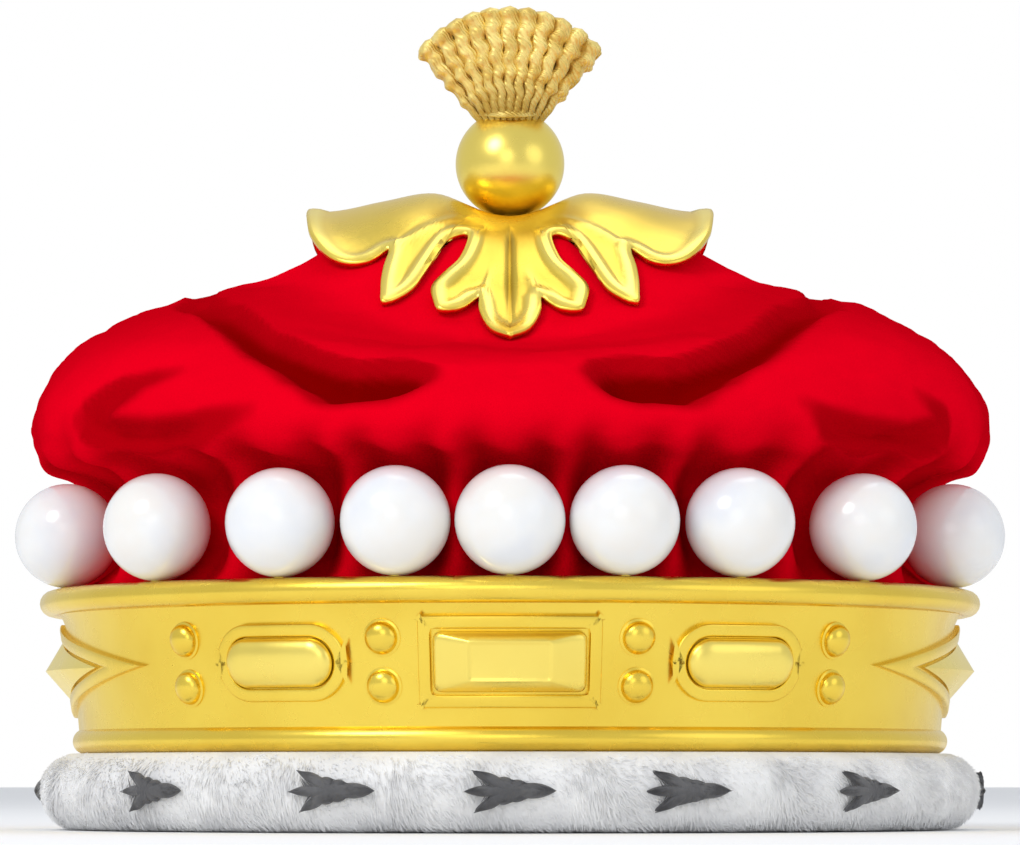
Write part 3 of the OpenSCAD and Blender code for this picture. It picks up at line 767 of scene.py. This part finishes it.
class MakePearls(bpy.types.Operator):
    """Makes the pearls, each very slightly out of round"""
    bl_idname = "coronet.make_pearls"
    bl_label = "Pearls"

    def execute(self, context):
        skin = finish("pearl_skin", lambda n: pearl_skin(n, tuple(colours().pearl)))
        r = sizes().pearl / MM / 2
        for k in range(PEARL_COUNT):
            bm = bmesh.new()
            bmesh.ops.create_uvsphere(bm, u_segments=56, v_segments=28, radius=r)
            middle = polar(azimuth(k * 360 / PEARL_COUNT), PEARL_RING_R, PEARL_Z)
            for v in bm.verts:
                v.co *= 1 + 0.004 * noise.noise(v.co * 0.09 + Vector((k * 5.3, 0, 0)))
                v.co += Vector(middle)
            piece(f"pearl_{k + 1:02d}_ball", bm, skin, [f"pearl_{k + 1:02d}"], None)
        return {"FINISHED"}


class MakeCap(bpy.types.Operator):
    """Shapes the velvet cap with its folds, gathers and collar"""
    bl_idname = "coronet.make_cap"
    bl_label = "Velvet cap"

    def execute(self, context):
        last = len(CAP_SECTIONS) - 1
        rings = np.concatenate([[0], np.linspace(0.25, 4, 14), np.linspace(4.12, 13, 74),
                                np.linspace(13.15, 19, 36), np.linspace(19.5, last, 8)])
        bm = spun([(t, 0) for t in rings], 360, closed=False)
        flat = coords(bm)
        t = np.hypot(flat[:, 0], flat[:, 1])
        turn = np.degrees(np.arctan2(flat[:, 0], -flat[:, 1]))
        plain = cap_plain(turn, t)
        fold = all_folds(plain)
        between = sin_d(turn * PEARL_COUNT / 2) ** 2
        # Gathers run up from the circlet between the pearls and die out in the puffed part.
        flute = (0.5 - 0.5 * np.cos(np.radians(turn * PEARL_COUNT * 2 + 25 * np.sin(t * 2.1))))
        gathered = ease(t, 10.6, 13.4) * (1 - ease(t, 18.6, 19.6))
        small = np.array([noise.fractal(Vector(p) * 0.045, 0.7, 2.1, 4) for p in plain])
        finer = plain * np.array([0.13, 0.13, 0.3])
        fine = np.array([noise.noise(Vector(p)) for p in finer])
        puffed = ease(t, 3.5, 5.5) * (1 - ease(t, 12.5, 14))
        lift = (-fold - 1.5 * gathered * flute + puffed * (0.9 * small + 0.35 * fine)
                + 1.1 * puffed * np.exp(-((fold - 1.4) / 0.8) ** 2))
        away = cap_normal(turn, t)
        placed = plain + lift[:, None] * away
        for v, p in zip(bm.verts, placed):
            v.co = p
        bmesh.ops.recalc_face_normals(bm, faces=bm.faces)
        # Painted shade: darker in the folds, in the gathers between the pearls, in a band under the
        # puff down to the wire, and where the upper cap turns away from the front.
        shade = 0.62 * ease(fold, 0.35, 1.5) + 0.38 * ease(fold, 2.6, 4.6)
        shade = np.maximum(shade, gathered * (0.2 + 0.6 * flute * between))
        shade = np.maximum(shade, 0.25 * ease(t, 13, 14.6) * (1 - ease(t, 17, 18.4)))
        edgewise = 1 - ease(np.abs(away[:, 1]), 0.08, 0.42)
        shade = np.maximum(shade, 0.45 * edgewise * ease(t, 4.5, 6) * (1 - ease(t, 11.5, 13)))
        cap = piece("velvet_cap_cloth", bm, finish("silk_velvet", lambda n: velvet(
            n, tuple(colours().velvet), tuple(colours().velvet_in_shade))), ["velvet_cap"],
            None, outward=False)
        point_value(cap, "shade", np.clip(shade, 0, 1))
        wall = cap.modifiers.new("wall", "SOLIDIFY")
        wall.thickness = CAP_WALL * MM
        wall.offset = -1
        # A round of velvet, gathered in under the wires.
        return {"FINISHED"}


class MakeFurRoll(bpy.types.Operator):
    """Makes the white fur roll that the circlet stands on"""
    bl_idname = "coronet.make_fur_roll"
    bl_label = "Fur roll"

    def execute(self, context):
        skin = ROLL_R - 0.7
        outer = [(ROLL_RING_R + skin * math.cos(a), max(0.15, ROLL_Z + skin * math.sin(a)))
                 for a in (math.radians(w) for w in range(-90, 73, 6))]
        inner = [(ROLL_INNER_R + 1.5, 15.7), (ROLL_INNER_R, 15.2), (ROLL_INNER_R, 11),
                 (ROLL_INNER_R, 7), (ROLL_INNER_R, 3.6), (ROLL_INNER_R + 1.2, 1.3)]
        bm = spun(outer + inner, 260)

        def rule(co):
            a = np.degrees(np.arctan2(co[:, 0], -co[:, 1]))
            soft = 0.35 * np.sin(np.radians(a * 23)) * np.sin(np.radians(a * 7 + 40))
            r = np.hypot(co[:, 0], co[:, 1])
            out = np.where(r > ROLL_RING_R, soft, 0)
            return polar(a, r + out, co[:, 2])
        reshape(bm, rule)
        rng = np.random.default_rng(7)
        count = sizes().hair_count
        at = rng.uniform(0, 360, count)
        up = rng.uniform(-80, 62, count)
        length = sizes().hair / MM * rng.uniform(0.6, 1.2, count)

        def on(a, w, lift):
            return polar(a, ROLL_RING_R + (ROLL_R - 0.8 + lift) * cos_d(w),
                         ROLL_Z + (ROLL_R - 0.8 + lift) * sin_d(w))
        clump = 14 * np.sin(np.radians(at * 31)) + rng.normal(0, 9, count)
        tips = on(at + np.degrees(length * 0.5 / 100 * (0.6 + 0.02 * clump)),
                  up - length * 4.2 + clump * 0.5,
                  1.05 * rng.uniform(0.5, 1.15, count) * (1 - 0.5 * ease(up, 30, 62)))
        tips[:, 2] = np.maximum(tips[:, 2], 0.1)
        roots = on(at, up, -0.25)
        roots[:, 2] = np.maximum(roots[:, 2], 0.25)
        hairs(bm, roots, tips, 0.26)
        roll = piece("ermine_roll_fur", bm, finish("white_fur", lambda n: fur(
            n, tuple(colours().fur), (0.70, 0.70, 0.71))), ["ermine_roll"], 60,
            outward=False)
        return {"FINISHED"}


class MakeTails(bpy.types.Operator):
    """Makes the dark tails sewn to the roll"""
    bl_idname = "coronet.make_tails"
    bl_label = "Ermine tails"

    def execute(self, context):
        dark = finish("dark_fur", lambda n: fur(n, tuple(colours().tail), (0.05, 0.05, 0.055)))
        way = np.array(TAIL_OUTLINE, float)
        rng = np.random.default_rng(3)

        def reach(angle):
            return np.interp(angle % 360, way[:, 0], way[:, 1])

        def on_roll(at, u, v, lift):
            w = np.degrees(v / ROLL_R)
            out = ROLL_R + lift
            return polar(at + np.degrees(u / (ROLL_RING_R + ROLL_R)),
                         ROLL_RING_R + out * cos_d(w), ROLL_Z + out * sin_d(w))
        for k, at in enumerate(TAILS_AT):
            bm = spun([(s, 0) for s in (0, 0.25, 0.5, 0.75, 0.92, 1)], 120, closed=False)

            def rule(co):
                s = np.hypot(co[:, 0], co[:, 1])
                angle = np.degrees(np.arctan2(co[:, 1], co[:, 0]))
                far = reach(angle) * s
                return on_roll(at, far * cos_d(angle), far * sin_d(angle),
                               0.35 + 1.3 * np.sqrt(np.maximum(0, 1 - s ** 2)))
            reshape(bm, rule)
            # Hairs start all over the tail and run towards its four points.
            n = 900
            u = rng.uniform(-8.6, 8.2, n)
            v = rng.uniform(-3.8, 3.8, n)
            share = np.hypot(u, v) / reach(np.degrees(np.arctan2(v, u)))
            u, v, share = (values[share < 0.9] for values in (u, v, share))
            points = np.array([(9.3, 0), (-7.8, 3.8), (-9.4, -0.2), (-7.3, -4.1)])
            nearest = np.where(u > -2.5, 0, 2 - (v > -0.1 * u) + (v < 0.1 * u - 0.4))
            start = np.stack([u, v], axis=-1)
            aim = points[nearest] - start
            far = np.linalg.norm(aim, axis=1)
            run = np.minimum(rng.uniform(1.6, 3.0, len(u)), far)
            end = start + aim / np.maximum(far, 1e-6)[:, None] * run[:, None]
            dome = 0.35 + 1.3 * np.sqrt(np.maximum(0, 1 - share ** 2))
            high = dome * 0.6 + rng.uniform(0.3, 0.7, len(u))
            hairs(bm, on_roll(at, u, v, dome - 0.2), on_roll(at, end[:, 0], end[:, 1], high), 0.16)
            piece(f"ermine_tail_{k + 1:02d}_tuft", bm, dark, [f"ermine_tail_{k + 1:02d}"],
                  70, outward=False)
        return {"FINISHED"}


def leaf_edge_points():
    """The leaves' outline all the way round: azimuth, section, height, azimuth of the root."""
    rows = LEAF_EDGE
    quarter = through(rows, np.linspace(0, len(rows) - 1, 4 * (len(rows) - 1) + 1))

    def flipped(part, about):
        return np.column_stack([about - part[:, 0], part[:, 1:3], about - part[:, 3]])[::-1]
    half = np.vstack([quarter[:-1], flipped(quarter, 180)])
    other = half.copy()
    other[:, [0, 3]] += 180
    return np.vstack([half[:-1], other])


class MakeLeafMount(bpy.types.Operator):
    """Shapes the leaves with their ribs and raised margins"""
    bl_idname = "coronet.make_leaf_mount"
    bl_label = "Leaf mount"

    def execute(self, context):
        edge = leaf_edge_points()
        columns = len(edge) - 1
        rows = 30
        bm = spun([(k / rows, 0) for k in range(rows + 1)], columns, closed=False)
        flat = coords(bm)
        share = np.hypot(flat[:, 0], flat[:, 1])
        number = np.degrees(np.arctan2(flat[:, 0], -flat[:, 1])) % 360 / 360 * columns
        number = np.where(share < 1e-4, 0, number)
        at_edge, reach, high, root = (np.interp(number, np.arange(columns + 1), edge[:, k])
                                      for k in range(4))
        thick = sizes().leaf / MM
        t = reach * (1 - (1 - share) ** 1.25)
        az = mix(root, at_edge, np.maximum(0, (t - 3) / (reach - 3)) ** 4)
        lift = mix(0.6 + thick, high, (t / reach) ** 7)
        turn = turn_at(az)
        top = cap_plain(turn, t, lift)
        outline = cap_plain(turn_at(edge[:, 0]), edge[:, 1], edge[:, 2])
        gap = np.full(len(top), 1e9)
        for a, b in zip(outline[:-1], outline[1:]):
            ab = b - a
            k = np.clip((top - a) @ ab / max(ab @ ab, 1e-9), 0, 1)
            gap = np.minimum(gap, np.linalg.norm(top - a - k[:, None] * ab, axis=1))
        quarter = np.abs(top) * np.array([1, -1, 1])
        rib = fold_depth(quarter, LEAF_RIB, 1.9)
        crease = np.max([fold_depth(quarter, line, 1.9) for line in LEAF_CREASES], axis=0)
        margin = ease(gap, 0.3, 1.3) * (1 - ease(gap, 2.4, 3.8)) * ease(t, 2.2, 3.2)
        hollow = ease(gap, 2.4, 4.4) * ease(t, 1.8, 2.8)
        relief = 0.35 * margin - 0.4 * hollow - 0.8 * rib + 0.55 * crease
        placed = top + relief[:, None] * cap_normal(turn, np.minimum(t, 3.0))
        for v, p in zip(bm.verts, placed):
            v.co = p
        bmesh.ops.recalc_face_normals(bm, faces=bm.faces)
        mount = piece("leaf_mount_gilt", bm, finish("leaf_gilt", leaf_gilt), ["leaf_mount"],
                      50, outward=False)
        # Painted shade in the rib grooves and hollows, painted highlight on the raised margins and
        # creases.
        point_value(mount, "shade", np.clip(0.95 * rib + 0.15 * hollow, 0, 1))
        point_value(mount, "light", np.clip(margin + 0.8 * crease, 0, 1))
        wall = mount.modifiers.new("sheet", "SOLIDIFY")
        wall.thickness = thick * MM
        wall.offset = -1
        return {"FINISHED"}


def leaf_gilt(name):
    """The leaves' gilding: painted highlights on the margins and creases, painted shade in the rib
    grooves and hollows.
    """
    plain_gilt = tuple(colours().gilt)

    def over(f, ground):
        # Painted highlight on the raised margins and creases; painted shade in the rib grooves and
        # hollows.
        highlighted = f.blend(f.attribute("light"), ground, tuple(colours().bright))
        dark = tuple(c * k for c, k in zip(plain_gilt, (0.5, 0.4, 0.12)))
        return f.blend(f.attribute("shade"), highlighted, dark)
    return gilt(name, plain_gilt, 0.26, 0.4, over)


class MakeBall(bpy.types.Operator):
    """Makes the ball that the tassel stands on"""
    bl_idname = "coronet.make_ball"
    bl_label = "Ball"

    def execute(self, context):
        bm = bmesh.new()
        bmesh.ops.create_uvsphere(bm, u_segments=96, v_segments=48, radius=sizes().ball / MM / 2)
        bmesh.ops.translate(bm, verts=bm.verts, vec=(0, 0, BALL_Z))
        piece("finial_ball_gilt", bm, bright_gilt(), ["finial_ball"], None)
        return {"FINISHED"}


class MakeTassel(bpy.types.Operator):
    """Makes the standing tassel of crimped gold locks"""
    bl_idname = "coronet.make_tassel"
    bl_label = "Tassel"

    def execute(self, context):
        thread = finish("gold_thread", lambda n: gold_thread(n, tuple(colours().thread)))
        bm = bmesh.new()
        # Rows of locks from front to back: how far out, and the number of locks.
        rows = [(-1, 11), (-0.5, 9), (0, 10), (0.5, 9), (1, 11)]
        around, along = 14, 46
        rng = np.random.default_rng(5)
        for depth, count in rows:
            for k in range(count):
                side = (k - (count - 1) / 2) / 5
                off = math.sqrt(max(0, 1 - 0.9 * side ** 2))
                foot = np.array([6.2 * side, 7.4 * depth * off, 0])
                foot[2] = BALL_Z + math.sqrt(12 ** 2 - foot[0] ** 2 - foot[1] ** 2) - 0.6
                lean = math.radians(TASSEL_SPREAD * side)
                tip = np.array([TASSEL_L * math.sin(lean), 9.6 * depth * off,
                                BALL_Z + 4.1 + TASSEL_L * math.cos(lean)])
                one = bmesh.new()
                bmesh.ops.create_grid(one, x_segments=around, y_segments=along, size=0.5)
                phase = rng.uniform(0, 0.6)
                flat = coords(one)
                s = flat[:, 1] + 0.5
                turn = (flat[:, 0] + 0.5) * 2 * math.pi
                way = (tip - foot) / np.linalg.norm(tip - foot)
                across = np.cross([0, 1, 0], way)
                across /= np.linalg.norm(across)
                through_fan = np.cross(way, across)
                grow = mix(0.75, 2.28, s / 0.95) * np.sqrt(np.clip((1.0 - s) / 0.045, 0, 1))
                grow *= 1 + 0.09 * np.sin(2 * math.pi * (7.5 * s + phase)) * ease(s, 0.1, 0.3)
                ply = 1 + 0.10 * np.cos(5 * turn + 16 * s)
                sway = 0.34 * np.sin(2 * math.pi * (4.8 * s + phase)) * ease(s, 0.05, 0.3)
                reach = s * np.linalg.norm(tip - foot) * 1.035
                middle = foot + reach[:, None] * way + sway[:, None] * across
                ring = (np.cos(turn) * grow * ply)[:, None] * across + \
                    (np.sin(turn) * grow * ply)[:, None] * through_fan
                for v, p in zip(one.verts, middle + ring):
                    v.co = p
                bmesh.ops.remove_doubles(one, verts=one.verts, dist=0.002)
                bmesh.ops.recalc_face_normals(one, faces=one.faces)
                merge_into(bm, one)
        # Painted shade: darkest in the middle of the tassel's foot, where the locks crowd on the
        # ball.
        places = coords(bm)
        height = places[:, 2] - BALL_Z - 4.1
        shade = 1 - ease(np.hypot(places[:, 0], height), 5, 17)
        binding = spun([(5.6 + 1.0 * math.cos(a), 1.0 * math.sin(a))
                        for a in np.linspace(0, 2 * math.pi, 12, endpoint=False)], 60)

        def drape(co):
            x, y = co[:, 0] * 1.12, co[:, 1] * 1.35
            z = BALL_Z + np.sqrt(np.maximum(0, 13.0 ** 2 - x ** 2 - y ** 2)) + co[:, 2] * 0.8
            return np.stack([x, y, z], axis=-1)
        reshape(binding, drape)
        merge_into(bm, binding)
        # The binding gets an even painted shade.
        shade = np.concatenate([shade, np.full(len(bm.verts) - len(shade), 0.45)])
        tassel = piece("tassel_locks", bm, thread, ["tassel"], 70)
        point_value(tassel, "shade", np.clip(shade, 0, 1) * 0.85)
        return {"FINISHED"}


class MakeStage(bpy.types.Operator):
    """Sets the pale floor, the soft lights and the camera"""
    bl_idname = "coronet.make_stage"
    bl_label = "Stage"

    def execute(self, context):
        bm = bmesh.new()
        bmesh.ops.create_grid(bm, x_segments=1, y_segments=1, size=14)
        mesh = bpy.data.meshes.new("floor")
        bm.to_mesh(mesh)
        bm.free()
        floor = bpy.data.objects.new("floor", mesh)
        context.scene.collection.objects.link(floor)
        f = Finish("floor")
        f.set(Roughness=0.75, Specular_IOR_Level=0.15)
        grey = tuple(colours().floor)
        f.colour(f.ramp(f.noise(3, 2), [(0.3, tuple(c * 0.985 for c in grey)), (0.7, grey)]))
        mesh.materials.append(f.material)
        floor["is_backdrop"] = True

        world = bpy.data.worlds.new("studio")
        context.scene.world = world
        world.use_nodes = True
        tree = world.node_tree
        room = tree.nodes["Background"]
        room.inputs["Strength"].default_value = 0.72
        room.inputs["Color"].default_value = (0.92, 0.95, 1.0, 1)
        seen = tree.nodes.new("ShaderNodeBackground")
        seen.inputs["Color"].default_value = (1, 1, 1, 1)
        seen.inputs["Strength"].default_value = 1.0
        path = tree.nodes.new("ShaderNodeLightPath")
        pick = tree.nodes.new("ShaderNodeMixShader")
        tree.links.new(path.outputs["Is Camera Ray"], pick.inputs["Fac"])
        tree.links.new(room.outputs["Background"], pick.inputs[1])
        tree.links.new(seen.outputs["Background"], pick.inputs[2])
        tree.links.new(pick.outputs["Shader"], tree.nodes["World Output"].inputs["Surface"])

        # Each light: its place, where it points, its size and its power.
        for name, place, aim, size, power in (
                ("key", (-0.7, -0.9, 0.95), (0, 0, 0.08), 0.6, 6.0),
                ("fill", (1.1, -0.8, 0.5), (0, 0, 0.08), 0.9, 1.2),
                ("front", (-0.2, -1.6, 0.45), (0, 0, 0.07), 0.8, 1.6),
                ("top", (0.1, 0.35, 1.3), (0, 0, 0.1), 0.8, 2.2)):
            lamp = bpy.data.lights.new(name, "AREA")
            lamp.shape = "DISK"
            lamp.size = size
            lamp.energy = power
            obj = bpy.data.objects.new(name, lamp)
            obj.location = place
            obj.rotation_euler = (Vector(aim) - Vector(place)).to_track_quat("-Z", "Y").to_euler()
            context.scene.collection.objects.link(obj)

        view = bpy.data.cameras.new("camera")
        view.lens = CAMERA_LENS
        view.sensor_width = 36
        view.clip_start = 0.05
        view.clip_end = 60
        camera = bpy.data.objects.new("camera", view)
        camera.location = (0, -CAMERA_AWAY * MM, CAMERA_UP * MM)
        camera.rotation_euler = (math.radians(90 + CAMERA_PITCH), 0, 0)
        context.scene.collection.objects.link(camera)
        context.scene.camera = camera
        context.scene.view_settings.view_transform = "Standard"
        return {"FINISHED"}


STEPS = (MakeCirclet, MakeSettings, MakePearls, MakeCap, MakeFurRoll, MakeTails, MakeLeafMount,
         MakeBall, MakeTassel, MakeStage)


class CORONET_PT_panel(bpy.types.Panel):
    """Lists the coronet's pieces and what may be changed on them"""
    bl_idname = "CORONET_PT_panel"
    bl_label = "Coronet"
    bl_space_type = "VIEW_3D"
    bl_region_type = "UI"
    bl_category = "Coronet"

    def draw(self, context):
        for group in (context.scene.coronet_sizes, context.scene.coronet_colours):
            box = self.layout.box()
            for key in group.__annotations__:
                box.prop(group, key)
        for step in STEPS:
            self.layout.operator(step.bl_idname)


CLASSES = (CoronetSizes, CoronetColours, *STEPS, CORONET_PT_panel)


def register():
    for item in CLASSES:
        bpy.utils.register_class(item)
    bpy.types.Scene.coronet_sizes = PointerProperty(type=CoronetSizes)
    bpy.types.Scene.coronet_colours = PointerProperty(type=CoronetColours)


def unregister():
    del bpy.types.Scene.coronet_colours
    del bpy.types.Scene.coronet_sizes
    for item in reversed(CLASSES):
        bpy.utils.unregister_class(item)


def plain(box):
    """A box as plain numbers."""
    return [[float(v) for v in corner] for corner in box]


def main():
    """Makes every piece and the stage, and measures the boxes of the CAD model and of the pieces"""
    register()
    bpy.ops.coronet.make_circlet()
    bpy.ops.coronet.make_settings()
    bpy.ops.coronet.make_pearls()
    bpy.ops.coronet.make_cap()
    bpy.ops.coronet.make_fur_roll()
    bpy.ops.coronet.make_tails()
    bpy.ops.coronet.make_leaf_mount()
    bpy.ops.coronet.make_ball()
    bpy.ops.coronet.make_tassel()
    bpy.ops.coronet.make_stage()
    {"cad": plain(cad_box), "visual": plain(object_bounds())}


if __name__ == "__main__":
    main()
